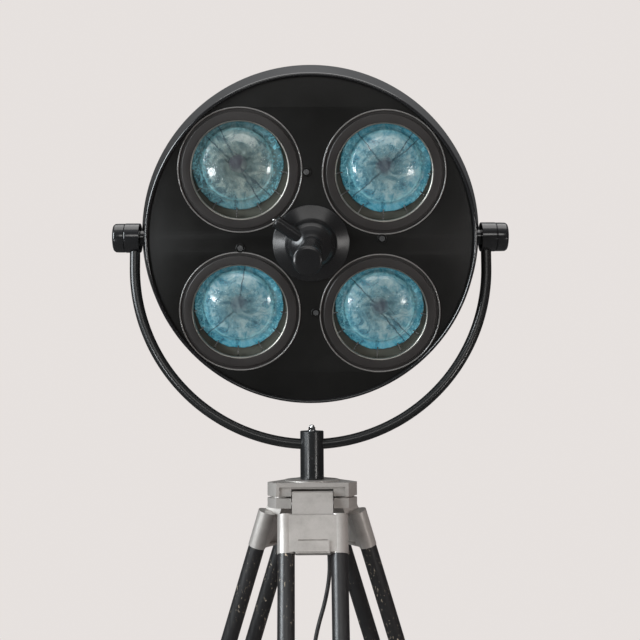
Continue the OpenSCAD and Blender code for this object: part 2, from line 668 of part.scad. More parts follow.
housing_shell();
rim_ring();
face_plate();
lens_bezels();
lens_glasses();
glass_clips();
reflectors();
lamp_brackets();
lamp_sockets();
lamp_bulbs();
bulb_shields();
face_screws();
hub_base();
trunnion_pins();
pivot_nuts();
rear_cap();
rear_cap_screws();
terminal_block();
hub_bell();
handle_grip();
handle_cap();
focus_lever();
lever_tip();
focus_spindle();
yoke_tube();
pivot_barrels();
pivot_caps();
pivot_bushes();
post_tube();
post_nut();
post_washer();
post_setscrew();
head_plate();
leg_spider();
post_spigot();
fixing_bolt();
cable_gland();
hinge_pins();
shoulder_1();
rails_1();
leg_clamp_1();
lower_leg_1();
shoe_1();
clamp_screw_1();
shoulder_2();
rails_2();
leg_clamp_2();
lower_leg_2();
shoe_2();
clamp_screw_2();
shoulder_3();
rails_3();
leg_clamp_3();
lower_leg_3();
shoe_3();
clamp_screw_3();
cord_run();
cord_coil();
plug_body();
plug_pins();
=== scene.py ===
"""Looks for the tripod floor lamp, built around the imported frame. Metres, the CAD frame."""
import math
import random

import bpy
import bmesh
from mathutils import Matrix, Vector, noise


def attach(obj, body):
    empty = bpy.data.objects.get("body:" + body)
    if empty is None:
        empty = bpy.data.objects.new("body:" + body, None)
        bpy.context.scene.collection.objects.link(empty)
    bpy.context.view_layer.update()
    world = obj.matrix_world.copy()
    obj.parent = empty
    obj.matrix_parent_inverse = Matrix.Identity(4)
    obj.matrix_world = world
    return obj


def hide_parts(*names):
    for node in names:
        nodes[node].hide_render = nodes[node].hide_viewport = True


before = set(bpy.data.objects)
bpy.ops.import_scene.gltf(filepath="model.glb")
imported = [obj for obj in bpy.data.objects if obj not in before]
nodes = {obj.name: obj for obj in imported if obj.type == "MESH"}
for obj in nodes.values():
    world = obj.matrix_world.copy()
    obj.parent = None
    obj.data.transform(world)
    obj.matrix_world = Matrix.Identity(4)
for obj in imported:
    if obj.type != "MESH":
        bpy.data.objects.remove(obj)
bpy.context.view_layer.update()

random.seed(7)
MM = 0.001
AY = 0.1072                 # the lamp's axis stands at this Y
TZ = 1.574                  # trunnion height
PZ = 1.1615                 # tripod plate height
RISE = 9.6                  # heat glasses above the middle of their bezels
SIDE = [-4.6, 3.1, 0.2, -2.6]   # and to one side of it
LIFT = 14.0                 # the lens stack's seat above the first datum
TILT = math.radians(16.6)
SPREAD = math.radians(19.15)
scene = bpy.context.scene

# ------------------------------------------------------------------ camera
cam_data = bpy.data.cameras.new("camera")
cam = bpy.data.objects.new("camera", cam_data)
scene.collection.objects.link(cam)
cam_data.sensor_width = 36
cam_data.lens = 56.25
cam_data.shift_x = 0.00234
cam_data.clip_start, cam_data.clip_end = 0.05, 60
cam.matrix_world = (
    Matrix.Translation(Vector((-0.0119, AY - 1.7000, TZ - 0.2638)))
    @ Matrix.Rotation(-0.0142, 4, "Z") @ Matrix.Rotation(0.0716, 4, "X")
    @ Matrix.Rotation(0.0057, 4, "Y") @ Matrix.Rotation(math.pi / 2, 4, "X"))
scene.camera = cam


# ------------------------------------------------------------------ mesh helpers
def link(o):
    scene.collection.objects.link(o)
    return o


def sharp(me, angle=38):
    """Smooth shading, broken at edges sharper than the angle."""
    for p in me.polygons:
        p.use_smooth = True
    me.set_sharp_from_angle(angle=math.radians(angle))


def make(name, verts, faces, mat, angle=38):
    me = bpy.data.meshes.new(name)
    me.from_pydata(verts, [], faces)
    me.validate()
    sharp(me, angle)
    me.materials.append(mat)
    return link(bpy.data.objects.new(name, me))


def fillet(pts, radii, steps=5, closed=True):
    """Rounds the corners of an outline. radii is one number, or one per point."""
    n = len(pts)
    if not hasattr(radii, "__len__"):
        radii = [radii] * n
    out = []
    for i, (p, r) in enumerate(zip(pts, radii)):
        if r <= 0 or (not closed and i in (0, n - 1)):
            out.append(tuple(p))
            continue
        a, b = Vector(pts[i - 1]), Vector(pts[(i + 1) % n])
        p = Vector(p)
        u, v = (a - p), (b - p)
        lu, lv = u.length, v.length
        if lu < 1e-9 or lv < 1e-9:
            continue
        u, v = u / lu, v / lv
        c = max(-1, min(1, u.dot(v)))
        half = math.acos(c) / 2
        if half > math.radians(88) or half < math.radians(3):
            out.append(tuple(p))
            continue
        t = min(r / math.tan(half), lu * 0.48, lv * 0.48)
        rr = t * math.tan(half)
        centre = p + (u + v).normalized() * (rr / math.sin(half))
        s, e = p + u * t - centre, p + v * t - centre
        ang = s.angle(e)
        for k in range(steps + 1):
            f = k / steps
            if ang < 1e-6:
                q = s
            else:
                q = (s * math.sin((1 - f) * ang) + e * math.sin(f * ang)) / math.sin(ang)
            out.append(tuple(centre + q))
    return out


def lathe(name, outline, mat, n=192, closed=True, angle=32, wobble=None, mm=True):
    """Turns an outline of (radius, z) pairs about Z. Points at radius 0 become poles."""
    k = MM if mm else 1
    verts, rows = [], []
    for r, z in outline:
        if r < 1e-6:
            rows.append([len(verts)] * n)
            verts.append((0, 0, z * k))
        else:
            row = []
            for i in range(n):
                a = 2 * math.pi * i / n
                rr, zz = (r, z) if wobble is None else wobble(r, z, a)
                row.append(len(verts))
                verts.append((rr * k * math.cos(a), rr * k * math.sin(a), zz * k))
            rows.append(row)
    faces = []
    pairs = list(zip(rows, rows[1:])) + ([(rows[-1], rows[0])] if closed else [])
    for a, b in pairs:
        if a[0] == a[1] and b[0] == b[1]:
            continue
        for i in range(n):
            j = (i + 1) % n
            f = [a[i], a[j], b[j], b[i]]
            g = []
            for x in f:
                if x not in g:
                    g.append(x)
            if len(g) > 2:
                faces.append(g)
    o = make(name, verts, faces, mat, angle)
    bm = bmesh.new()
    bm.from_mesh(o.data)
    bmesh.ops.recalc_face_normals(bm, faces=bm.faces)
    bm.to_mesh(o.data)
    bm.free()
    sharp(o.data, angle)
    return o


def arc(cx, cy, r, a0, a1, n):
    return [(cx + r * math.cos(math.radians(a0 + (a1 - a0) * k / n)),
             cy + r * math.sin(math.radians(a0 + (a1 - a0) * k / n))) for k in range(n + 1)]


def extrude(name, outline, z0, z1, mat, bevel=0.0, angle=35, seg=3):
    """A flat outline (mm) pulled from z0 to z1 with rounded edges."""
    bm = bmesh.new()
    vs = [bm.verts.new((x * MM, y * MM, z0 * MM)) for x, y in outline]
    f = bm.faces.new(vs)
    got = bmesh.ops.extrude_face_region(bm, geom=[f])
    for v in [g for g in got["geom"] if isinstance(g, bmesh.types.BMVert)]:
        v.co.z = z1 * MM
    bmesh.ops.recalc_face_normals(bm, faces=bm.faces)
    if bevel:
        edges = [e for e in bm.edges if e.is_manifold and e.calc_face_angle(0) > math.radians(28)]
        bmesh.ops.bevel(bm, geom=edges, offset=bevel * MM, segments=seg, profile=0.5,
                        affect="EDGES", clamp_overlap=True)
    me = bpy.data.meshes.new(name)
    bm.to_mesh(me)
    bm.free()
    sharp(me, angle)
    me.materials.append(mat)
    return link(bpy.data.objects.new(name, me))


def tube(name, pts, r, mat, sides=32, caps=True):
    """A round tube along points in metres; r in metres, or one per point."""
    pts = [Vector(p) for p in pts]
    rr = r if hasattr(r, "__len__") else [r] * len(pts)
    verts, faces = [], []
    up = None
    for i, p in enumerate(pts):
        t = (pts[min(i + 1, len(pts) - 1)] - pts[max(i - 1, 0)]).normalized()
        if up is None:
            up = Vector((0, 0, 1)) if abs(t.z) < 0.9 else Vector((0, 1, 0))
        u = (up - t * up.dot(t)).normalized()
        up = u
        v = t.cross(u)
        for k in range(sides):
            a = 2 * math.pi * k / sides
            verts.append(p + (u * math.cos(a) + v * math.sin(a)) * rr[i])
    for i in range(len(pts) - 1):
        for k in range(sides):
            a, b = i * sides + k, i * sides + (k + 1) % sides
            faces.append((a, b, b + sides, a + sides))
    if caps:
        faces.append(tuple(range(sides - 1, -1, -1)))
        faces.append(tuple((len(pts) - 1) * sides + k for k in range(sides)))
    return make(name, verts, faces, mat, 40)


def place(o, matrix, body, *replaced, slot=None):
    o.matrix_world = matrix
    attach(o, body)
    if replaced:
        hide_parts(*replaced)
    return o


# ------------------------------------------------------------------ materials
class Mat:
    """A small builder for node materials. All sizes are real, from object coordinates in metres."""

    def __init__(self, name, coord="Object", **uniform):
        self.m = bpy.data.materials.new(name)
        self.m.use_nodes = True
        self.t = self.m.node_tree
        self.bsdf = next(n for n in self.t.nodes if n.type == "BSDF_PRINCIPLED")
        self.out = next(n for n in self.t.nodes if n.type == "OUTPUT_MATERIAL")
        self.xyz = self.t.nodes.new("ShaderNodeTexCoord").outputs[coord]
        for k, v in uniform.items():
            s = self.bsdf.inputs[k.replace("_", " ")]
            s.default_value = (*v, 1) if hasattr(v, "__len__") and len(v) == 3 else v

    def node(self, kind, **inputs):
        n = self.t.nodes.new(kind)
        for k, v in inputs.items():
            self.put(n.inputs[k.replace("_", " ")], v)
        return n

    def put(self, socket, v):
        if isinstance(v, bpy.types.NodeSocket):
            self.t.links.new(v, socket)
        elif hasattr(v, "__len__") and len(v) == 3 and socket.type == "RGBA":
            socket.default_value = (*v, 1)
        else:
            socket.default_value = v

    def noise(self, scale, detail=4, rough=0.55, distort=0.0, vec=None, out="Fac"):
        n = self.node("ShaderNodeTexNoise", Scale=scale, Detail=detail, Roughness=rough,
                      Distortion=distort, Vector=vec or self.xyz)
        return n.outputs[out]

    def cells(self, scale, rand=1.0, vec=None, out="Distance", feature="F1", smooth=None):
        n = self.t.nodes.new("ShaderNodeTexVoronoi")
        n.feature = feature
        self.put(n.inputs["Scale"], scale)
        self.put(n.inputs["Randomness"], rand)
        if smooth is not None and "Smoothness" in n.inputs:
            self.put(n.inputs["Smoothness"], smooth)
        self.put(n.inputs["Vector"], vec or self.xyz)
        return n.outputs[out]

    def stretch(self, x, y, z, vec=None):
        n = self.t.nodes.new("ShaderNodeMapping")
        n.inputs["Scale"].default_value = (x, y, z)
        self.put(n.inputs["Vector"], vec or self.xyz)
        return n.outputs[0]

    def ramp(self, fac, *stops):
        n = self.t.nodes.new("ShaderNodeValToRGB")
        e = n.color_ramp.elements
        while len(e) < len(stops):
            e.new(0.5)
        for el, (pos, col) in zip(e, stops):
            el.position = pos
            el.color = (col, col, col, 1) if not hasattr(col, "__len__") else (*col, 1)
        self.put(n.inputs[0], fac)
        return n.outputs[0]

    def mix(self, fac, a, b, blend="MIX"):
        n = self.t.nodes.new("ShaderNodeMix")
        n.data_type = "RGBA"
        n.blend_type = blend
        self.put(n.inputs[0], fac)
        self.put(n.inputs[6], a)
        self.put(n.inputs[7], b)
        return n.outputs[2]

    def math(self, op, a, b=None, c=None, clamp=False):
        n = self.t.nodes.new("ShaderNodeMath")
        n.operation = op
        n.use_clamp = clamp
        for i, v in enumerate((a, b, c)):
            if v is not None:
                self.put(n.inputs[i], v)
        return n.outputs[0]

    def remap(self, v, a, b, c, d):
        n = self.t.nodes.new("ShaderNodeMapRange")
        for i, x in enumerate((v, a, b, c, d)):
            self.put(n.inputs[i], x)
        return n.outputs[0]

    def bump(self, height, strength, distance=0.0005, normal=None):
        n = self.node("ShaderNodeBump", Strength=strength, Distance=distance, Height=height)
        if normal is not None:
            self.t.links.new(normal, n.inputs["Normal"])
        return n.outputs[0]

    def polar(self, k, j):
        """A vector that runs round the object's Z axis: streaks from the middle outward."""
        s = self.t.nodes.new("ShaderNodeSeparateXYZ")
        self.put(s.inputs[0], self.xyz)
        flat = self.t.nodes.new("ShaderNodeCombineXYZ")
        self.put(flat.inputs[0], s.outputs[0])
        self.put(flat.inputs[1], s.outputs[1])
        length = self.t.nodes.new("ShaderNodeVectorMath")
        length.operation = "LENGTH"
        self.put(length.inputs[0], flat.outputs[0])
        unit = self.t.nodes.new("ShaderNodeVectorMath")
        unit.operation = "NORMALIZE"
        self.put(unit.inputs[0], flat.outputs[0])
        sc = self.t.nodes.new("ShaderNodeVectorMath")
        sc.operation = "SCALE"
        self.put(sc.inputs[0], unit.outputs[0])
        self.put(sc.inputs["Scale"], k)
        add = self.t.nodes.new("ShaderNodeVectorMath")
        add.operation = "ADD"
        z = self.t.nodes.new("ShaderNodeCombineXYZ")
        self.put(z.inputs[2], self.math("MULTIPLY", length.outputs["Value"], j))
        self.put(add.inputs[0], sc.outputs[0])
        self.put(add.inputs[1], z.outputs[0])
        return add.outputs[0], length.outputs["Value"]

    def set(self, **sockets):
        for k, v in sockets.items():
            self.put(self.bsdf.inputs[k.replace("_", " ")], v)
        return self.m


def enamel(name, base, rough, peel=0.05, coat=0.5, dust=0.05, scratch=0.25):
    """Stove enamel: slight orange peel, cloudy gloss, fine dust and hairline scratches."""
    m = Mat(name, IOR=1.5, Coat_Weight=coat, Coat_Roughness=0.05)
    cloud = m.noise(9, 5, 0.6)
    fine = m.noise(420, 3, 0.6)
    specks = m.ramp(m.cells(900), (0.0, 1.0), (0.07, 0.0))
    gate = m.ramp(m.noise(60, 3), (0.55, 0.0), (0.72, 1.0))
    dusty = m.math("MULTIPLY", specks, gate)
    hair = m.ramp(m.noise(60, 2, 0.4, vec=m.stretch(26, 1.2, 3.0)), (0.485, 0.0), (0.5, 1.0), (0.515, 0.0))
    hair = m.math("MULTIPLY", hair, m.ramp(m.noise(14, 2), (0.5, 0.0), (0.7, scratch)))
    tone = m.mix(cloud, [c * 0.75 for c in base], [c * 1.35 for c in base])
    tone = m.mix(m.math("MULTIPLY", dusty, dust * 6, clamp=True), tone, (0.16, 0.155, 0.15))
    tone = m.mix(m.math("MULTIPLY", hair, 0.12), tone, (0.3, 0.3, 0.3))
    r = m.remap(cloud, 0.3, 0.7, rough * 0.82, rough * 1.2)
    r = m.math("ADD", r, m.math("MULTIPLY", m.math("ADD", dusty, hair), 0.2))
    return m.set(Base_Color=tone, Roughness=r, Normal=m.bump(fine, peel, 0.0004))


def cast_metal(name, base, rough=0.42, grain=0.35, metallic=0.85, stain=(0.1, 0.095, 0.085)):
    """Sand-cast metal: grainy skin, shallow pits, darker in patches where hands and dirt worked in."""
    m = Mat(name, Metallic=metallic)
    grit = m.noise(900, 5, 0.7)
    lumps = m.noise(130, 4, 0.6)
    pits = m.ramp(m.cells(330), (0.0, 0.0), (0.22, 1.0))
    patch = m.ramp(m.noise(26, 5, 0.65), (0.42, 0.0), (0.68, 1.0))
    tone = m.mix(grit, [c * 0.82 for c in base], [min(1, c * 1.14) for c in base])
    tone = m.mix(m.math("MULTIPLY", patch, 0.34), tone, stain)
    tone = m.mix(m.math("MULTIPLY", m.math("SUBTRACT", 1.0, pits), 0.3), tone, stain)
    h = m.math("ADD", m.math("MULTIPLY", grit, 0.6), m.math("MULTIPLY", lumps, 0.9))
    h = m.math("ADD", h, m.math("MULTIPLY", pits, 0.5))
    r = m.remap(m.math("ADD", patch, grit), 0.2, 1.4, rough * 0.8, rough * 1.3)
    return m.set(Base_Color=tone, Roughness=r, Normal=m.bump(h, grain, 0.0004))


def machined(name, base, rough=0.25, metallic=1.0, axis=(4, 4, 260), wear=0.25):
    """Turned or brushed metal with fine tool lines and faint tarnish."""
    m = Mat(name, Metallic=metallic)
    lines = m.noise(14, 3, 0.6, vec=m.stretch(*axis))
    tarnish = m.ramp(m.noise(45, 4, 0.6), (0.4, 0.0), (0.75, 1.0))
    tone = m.mix(lines, [c * 0.85 for c in base], [min(1, c * 1.1) for c in base])
    tone = m.mix(m.math("MULTIPLY", tarnish, wear), tone, [c * 0.45 for c in base])
    r = m.remap(m.math("ADD", lines, tarnish), 0.2, 1.5, rough * 0.75, rough * 1.5)
    return m.set(Base_Color=tone, Roughness=r, Normal=m.bump(lines, 0.12, 0.0002))


def lacquer_wood(name):
    """Black lacquer over ash: long grain telegraphing through, pale chips and rubbed ochre streaks."""
    m = Mat(name, IOR=1.5, Coat_Weight=0.15, Coat_Roughness=0.25)
    grain = m.noise(30, 5, 0.6, vec=m.stretch(9, 9, 0.6))
    fine = m.noise(700, 3, 0.6)
    chips = m.ramp(m.noise(260, 4, 0.65, distort=0.6, vec=m.stretch(1, 1, 0.45)), (0.62, 0.0), (0.66, 1.0))
    gate = m.ramp(m.noise(14, 3, 0.6), (0.44, 0.0), (0.58, 1.0))
    chips = m.math("MULTIPLY", chips, gate)
    rub = m.ramp(m.noise(36, 4, 0.7, vec=m.stretch(3, 3, 0.35)), (0.66, 0.0), (0.78, 1.0))
    tone = m.mix(grain, (0.010, 0.010, 0.011), (0.024, 0.023, 0.023))
    tone = m.mix(m.math("MULTIPLY", rub, 0.32), tone, (0.09, 0.055, 0.028))
    tone = m.mix(chips, tone, m.mix(m.noise(90), (0.30, 0.22, 0.13), (0.55, 0.50, 0.43)))
    h = m.math("ADD", m.math("MULTIPLY", grain, 0.8), m.math("MULTIPLY", fine, 0.25))
    h = m.math("SUBTRACT", h, m.math("MULTIPLY", chips, 0.9))
    r = m.remap(grain, 0.3, 0.7, 0.32, 0.46)
    r = m.math("ADD", r, m.math("MULTIPLY", chips, 0.35))
    return m.set(Base_Color=tone, Roughness=r, Normal=m.bump(h, 0.3, 0.0004))


gloss_black = enamel("gloss_black", (0.0105, 0.0105, 0.0112), 0.17, peel=0.045, coat=0.7)
rim_black = enamel("rim_black", (0.0105, 0.0105, 0.0112), 0.13, peel=0.03, coat=0.9, scratch=0.15)
face_black = enamel("face_black", (0.0062, 0.0060, 0.0055), 0.36, peel=0.10, coat=0.04, dust=0.03)
face_black.node_tree.nodes["Principled BSDF"].inputs["Specular IOR Level"].default_value = 0.30
bezel_black = enamel("bezel_black", (0.021, 0.0185, 0.0175), 0.42, peel=0.09, coat=0.08, dust=0.04)
hub_black = enamel("hub_black", (0.0095, 0.0095, 0.0098), 0.24, peel=0.006, coat=0.05, dust=0.04)
ledge_grey = enamel("ledge_grey", (0.085, 0.088, 0.072), 0.40, peel=0.12, coat=0.1, dust=0.1)
cast_alu = cast_metal("cast_aluminium", (0.47, 0.445, 0.42), rough=0.40, grain=0.3, metallic=0.5, stain=(0.16, 0.14, 0.12))
iron = cast_metal("iron_shoe", (0.22, 0.21, 0.20), 0.55, 0.5, 0.8, (0.08, 0.05, 0.03))
steel = machined("bright_steel", (0.60, 0.60, 0.60), 0.24)
dark_steel = machined("dark_steel", (0.10, 0.10, 0.105), 0.35, 0.9)
chrome = machined("chrome", (0.78, 0.78, 0.79), 0.09, 1.0, (3, 3, 40), 0.12)
brass = machined("brass", (0.62, 0.44, 0.18), 0.28)
liner_metal = machined("liner_metal", (0.46, 0.44, 0.40), 0.36, 1.0, (5, 5, 120), 0.2)
tube_metal = machined("tube_metal", (0.50, 0.54, 0.52), 0.32, 0.8, (5, 5, 120), 0.4)
wood = lacquer_wood("lacquered_wood")
yoke_black = enamel("yoke_black", (0.0105, 0.0108, 0.0108), 0.26, peel=0.0, coat=0.0, dust=0.02, scratch=0.1)
post_black = enamel("post_black", (0.011, 0.0115, 0.012), 0.26, peel=0.006, coat=0.0, dust=0.03, scratch=0.2)


def rubber_mat():
    m = Mat("black_rubber", IOR=1.5)
    n = m.noise(1500, 3, 0.6)
    smear = m.ramp(m.noise(40, 4), (0.45, 0.0), (0.75, 1.0))
    tone = m.mix(smear, (0.012, 0.012, 0.013), (0.035, 0.033, 0.031))
    return m.set(Base_Color=tone, Roughness=m.remap(n, 0.3, 0.7, 0.42, 0.62),
                 Normal=m.bump(n, 0.15, 0.0002))


def ceramic_mat():
    m = Mat("ceramic", IOR=1.55)
    n = m.noise(300, 4)
    tone = m.mix(m.ramp(m.noise(70, 5, 0.7), (0.5, 0.0), (0.8, 1.0)), (0.74, 0.71, 0.64), (0.42, 0.37, 0.3))
    return m.set(Base_Color=tone, Roughness=m.remap(n, 0.3, 0.7, 0.18, 0.35), Normal=m.bump(n, 0.08, 0.0003))


def bulb_mat():
    m = Mat("lamp_glass", IOR=1.5, Coat_Weight=0.5)
    n = m.noise(120, 3)
    tone = m.mix(n, (0.80, 0.78, 0.72), (0.93, 0.92, 0.88))
    return m.set(Base_Color=tone, Roughness=m.remap(n, 0.3, 0.7, 0.12, 0.3), Normal=m.bump(n, 0.05, 0.0003))


def glass_mat(name, centre, edge, pale, dark, alpha_in, alpha_out, bracket_shade_az=(), patch=0.0, patch_at=(0.0, 0.0)):
    """Pressed blue-green heat glass: cloudy and half clear in the middle, denser towards the thick rim and brighter
    there with painted highlights, with a hammered skin; a painted highlight ring at the shoulder, and painted shade
    where the brackets and shield show through."""
    m = Mat(name, IOR=1.52, Coat_Weight=1.0, Coat_Roughness=0.02, Specular_IOR_Level=0.5)
    pol, length = m.polar(6.0, 16.0)
    rad = m.remap(length, 0.0, 0.076, 0.0, 1.0)
    streak = m.noise(1.0, 4, 0.6, 0.6, vec=pol)
    cloud = m.noise(27, 5, 0.7, 1.7)
    spots = m.noise(105, 5, 0.68, 0.8)
    facet = m.cells(210, 1.0, feature="SMOOTH_F1", smooth=0.35)
    mixed = m.math("ADD", m.math("MULTIPLY", cloud, 0.55), m.math("ADD", m.math("MULTIPLY", spots, 0.3), m.math("MULTIPLY", streak, 0.15)))
    body = m.ramp(m.math("ADD", rad, m.math("MULTIPLY", m.math("SUBTRACT", cloud, 0.5), 0.8)),
                  (0.0, centre), (0.6, [a * 0.5 + b * 0.5 for a, b in zip(centre, edge)]), (0.95, edge))
    light = m.math("MULTIPLY", m.ramp(mixed, (0.46, 0.0), (0.57, 1.0)), m.remap(rad, 0.6, 0.88, 1.0, 0.35))
    tone = m.mix(m.math("MULTIPLY", light, 0.75), body, pale)
    shade = m.ramp(mixed, (0.38, 1.0), (0.48, 0.0))
    tone = m.mix(m.math("MULTIPLY", shade, 0.75), tone, dark)
    rim = m.ramp(rad, (0.62, 0.0), (0.78, 1.0), (1.0, 0.9))
    sx = m.t.nodes.new("ShaderNodeSeparateXYZ")
    m.put(sx.inputs[0], m.xyz)
    # painted highlight: bright cyan flecks on the rim, strongest on the left and right sides of each glass
    side_glint_mask = m.remap(m.math("ABSOLUTE", sx.outputs[0]), 0.030, 0.062, 0.15, 1.0)
    rim_glint = m.ramp(m.noise(120, 4, 0.6, 2.2), (0.50, 0.0), (0.60, 1.0))
    rim_glint = m.math("MULTIPLY", m.math("MULTIPLY", rim_glint, side_glint_mask, clamp=True), rim)
    tone = m.mix(m.math("MULTIPLY", rim_glint, 0.8), tone, (0.28, 0.74, 0.86))
    # painted highlight: a bright cyan ring round the dome's shoulder, broken up by the spots
    shoulder_highlight = m.ramp(rad, (0.725, 0.0), (0.76, 1.0), (0.80, 0.0))
    tone = m.mix(m.math("MULTIPLY", m.math("MULTIPLY", shoulder_highlight, m.ramp(spots, (0.4, 0.2), (0.6, 1.0))), 0.5), tone, (0.35, 0.78, 0.84))
    # painted shade: dark lines where the lamp brackets show through the glass, and a painted dark patch in the middle
    # where the shield shows through
    wave = m.math("MULTIPLY", m.math("SUBTRACT", m.noise(60, 3, 0.6), 0.5), 0.006)
    bracket_shade = None
    # painted shade: each line stands for a lamp bracket seen through the glass
    for az, off in bracket_shade_az:
        t = math.radians(az)
        d = m.math("SUBTRACT", m.math("MULTIPLY", sx.outputs[0], math.sin(t)), m.math("MULTIPLY", sx.outputs[1], math.cos(t)))
        d = m.math("ABSOLUTE", m.math("ADD", m.math("ADD", d, wave), off))
        along = m.math("ADD", m.math("MULTIPLY", sx.outputs[0], math.cos(t)), m.math("MULTIPLY", sx.outputs[1], math.sin(t)))
        k = m.math("MULTIPLY", m.remap(d, 0.0005, 0.0016, 1.0, 0.0), m.remap(along, 0.006, 0.014, 0.0, 1.0))
        bracket_shade = k if bracket_shade is None else m.math("MAXIMUM", bracket_shade, k)
    if bracket_shade is not None:
        tone = m.mix(m.math("MULTIPLY", bracket_shade, 0.75), tone, (0.035, 0.06, 0.085))
    # painted shade: the patch is the shield's shade seen through the middle of the glass
    if patch:
        px = m.math("SUBTRACT", sx.outputs[0], patch_at[0])
        py = m.math("SUBTRACT", sx.outputs[1], patch_at[1])
        pr = m.math("SQRT", m.math("ADD", m.math("MULTIPLY", px, px), m.math("MULTIPLY", py, py)))
        pr = m.math("ADD", pr, m.math("MULTIPLY", m.math("SUBTRACT", m.noise(75, 3, 0.6), 0.5), 0.022))
        tone = m.mix(m.math("MULTIPLY", m.remap(pr, 0.009, 0.0135, 1.0, 0.0), patch), tone, (0.075, 0.085, 0.115))
    a = m.math("ADD", m.remap(rad, 0.22, 0.8, alpha_in, alpha_out),
               m.math("MULTIPLY", m.math("SUBTRACT", cloud, 0.5), 0.9), clamp=True)
    h = m.math("ADD", m.math("MULTIPLY", facet, 0.5), m.math("ADD", m.math("MULTIPLY", spots, 0.7), m.math("MULTIPLY", streak, 0.4)))
    return m.set(Base_Color=tone, Alpha=a, Roughness=m.remap(spots, 0.3, 0.7, 0.05, 0.13),
                 Normal=m.bump(h, 0.4, 0.0016))


def reflector_mat():
    """Hammered bright reflector, seen only through the tinted glass."""
    m = Mat("reflector_metal", Metallic=0.65)
    dimples = m.cells(110, 1.0, feature="SMOOTH_F1", smooth=0.4)
    pol, length = m.polar(5.0, 14.0)
    streak = m.noise(1.0, 4, 0.65, 0.5, vec=pol)
    tone = m.ramp(m.math("ADD", m.math("MULTIPLY", streak, 0.7), m.math("MULTIPLY", dimples, 0.5)),
                  (0.25, (0.13, 0.20, 0.23)), (0.5, (0.40, 0.56, 0.57)), (0.78, (0.72, 0.84, 0.83)))
    return m.set(Base_Color=tone, Roughness=m.remap(streak, 0.3, 0.7, 0.28, 0.5),
                 Normal=m.bump(dimples, 0.8, 0.003))


def shield_mat():
    m = Mat("shield_metal", Metallic=0.3)
    n = m.noise(160, 4, 0.6)
    tone = m.mix(n, (0.045, 0.040, 0.055), (0.12, 0.105, 0.13))
    return m.set(Base_Color=tone, Roughness=m.remap(n, 0.3, 0.7, 0.45, 0.7), Normal=m.bump(n, 0.4, 0.001))


rubber, ceramic, bulb_glass = rubber_mat(), ceramic_mat(), bulb_mat()
TEAL = ((0.19, 0.35, 0.39), (0.03, 0.27, 0.38), (0.42, 0.54, 0.53), (0.035, 0.085, 0.15), 0.30, 0.88)
# per glass: the painted bracket-shade lines (azimuth, offset), then the strength and centre of the painted shield shade
glasses = [
    glass_mat("heat_glass_0", (0.19, 0.25, 0.24), (0.06, 0.19, 0.23), (0.36, 0.42, 0.38), (0.05, 0.06, 0.085), 0.26, 0.84,
              ((137, 0.0015), (118, -0.002), (-44, 0.0), (-60, 0.001)), 0.7, (-0.001, 0.004)),
    glass_mat("heat_glass_1", *TEAL, ((38, 0.001), (52, -0.002), (222, 0.001), (128, 0.003)), 0.65, (-0.002, 0.002)),
    glass_mat("heat_glass_2", *TEAL, ((-47, 0.003), (-52, -0.003), (135, 0.0)), 0.6, (0.001, 0.002)),
    glass_mat("heat_glass_3", *TEAL, ((222, 0.001), (80, 0.0)), 0.3, (0.001, 0.006))]
reflector, shield = reflector_mat(), shield_mat()

for node, m in {
    "housing_shell": gloss_black, "rim_ring": rim_black, "face_plate": face_black,
    "lens_bezels": bezel_black, "lens_glasses": glasses[1], "glass_clips": steel,
    "reflectors": reflector, "lamp_brackets": dark_steel, "lamp_sockets": ceramic,
    "lamp_bulbs": bulb_glass, "bulb_shields": shield, "face_screws": steel,
    "hub_base": face_black, "trunnion_pins": gloss_black, "pivot_nuts": steel, "rear_cap": gloss_black,
    "rear_cap_screws": steel, "terminal_block": ceramic, "hub_bell": hub_black,
    "handle_grip": hub_black, "handle_cap": hub_black, "focus_lever": hub_black,
    "lever_tip": steel, "focus_spindle": steel, "yoke_tube": yoke_black,
    "pivot_barrels": gloss_black, "pivot_caps": gloss_black, "pivot_bushes": gloss_black,
    "post_tube": post_black, "post_nut": chrome, "post_washer": chrome,
    "post_setscrew": dark_steel, "head_plate": cast_alu, "leg_spider": cast_alu,
    "post_spigot": cast_alu, "fixing_bolt": dark_steel, "cable_gland": rubber,
    "hinge_pins": steel, "cord_run": rubber, "cord_coil": rubber, "plug_body": rubber,
    "plug_pins": chrome,
    **{f"{k}_{i}": v for i in (1, 2, 3) for k, v in {
        "shoulder": cast_alu, "rails": wood, "leg_clamp": cast_alu, "lower_leg": wood,
        "shoe": iron, "clamp_screw": steel}.items()},
}.items():
    o = nodes[node]
    o.data.materials.clear()
    o.data.materials.append(m)


def soften(node, width, segments=2, angle=30):
    """Rounds a carried-over piece's edges with modifiers; its mesh stays as packed."""
    o = nodes[node]
    w = o.modifiers.new("weld", "WELD")
    w.merge_threshold = 0.00002
    b = o.modifiers.new("bevel", "BEVEL")
    b.width = width * MM
    b.segments = segments
    b.limit_method = "ANGLE"
    b.angle_limit = math.radians(angle)
    b.harden_normals = False
    b.use_clamp_overlap = True
    o.modifiers.new("normals", "WEIGHTED_NORMAL").keep_sharp = True
    for p in o.data.polygons:
        p.use_smooth = True
    return o


for n, w in [("head_plate", 1.0), ("leg_spider", 1.0), ("post_nut", 0.35), ("fixing_bolt", 0.6)] + \
        [(f"{k}_{i}", w) for i in (1, 2, 3) for k, w in (("shoulder", 1.1), ("leg_clamp", 0.9), ("lower_leg", 1.2), ("shoe", 1.0))]:
    soften(n, w)

# ------------------------------------------------------------------ mains cord
def spline(pts, m):
    out = []
    for i in range(len(pts) - 1):
        a, b = Vector(pts[max(i - 1, 0)]), Vector(pts[i])
        c, d = Vector(pts[i + 1]), Vector(pts[min(i + 2, len(pts) - 1)])
        for k in range(m):
            t = k / m
            out.append(0.5 * (2 * b + (c - a) * t + (2 * a - 5 * b + 4 * c - d) * t * t
                              + (3 * b - a - 3 * c + d) * t * t * t))
    return out + [Vector(pts[-1])]


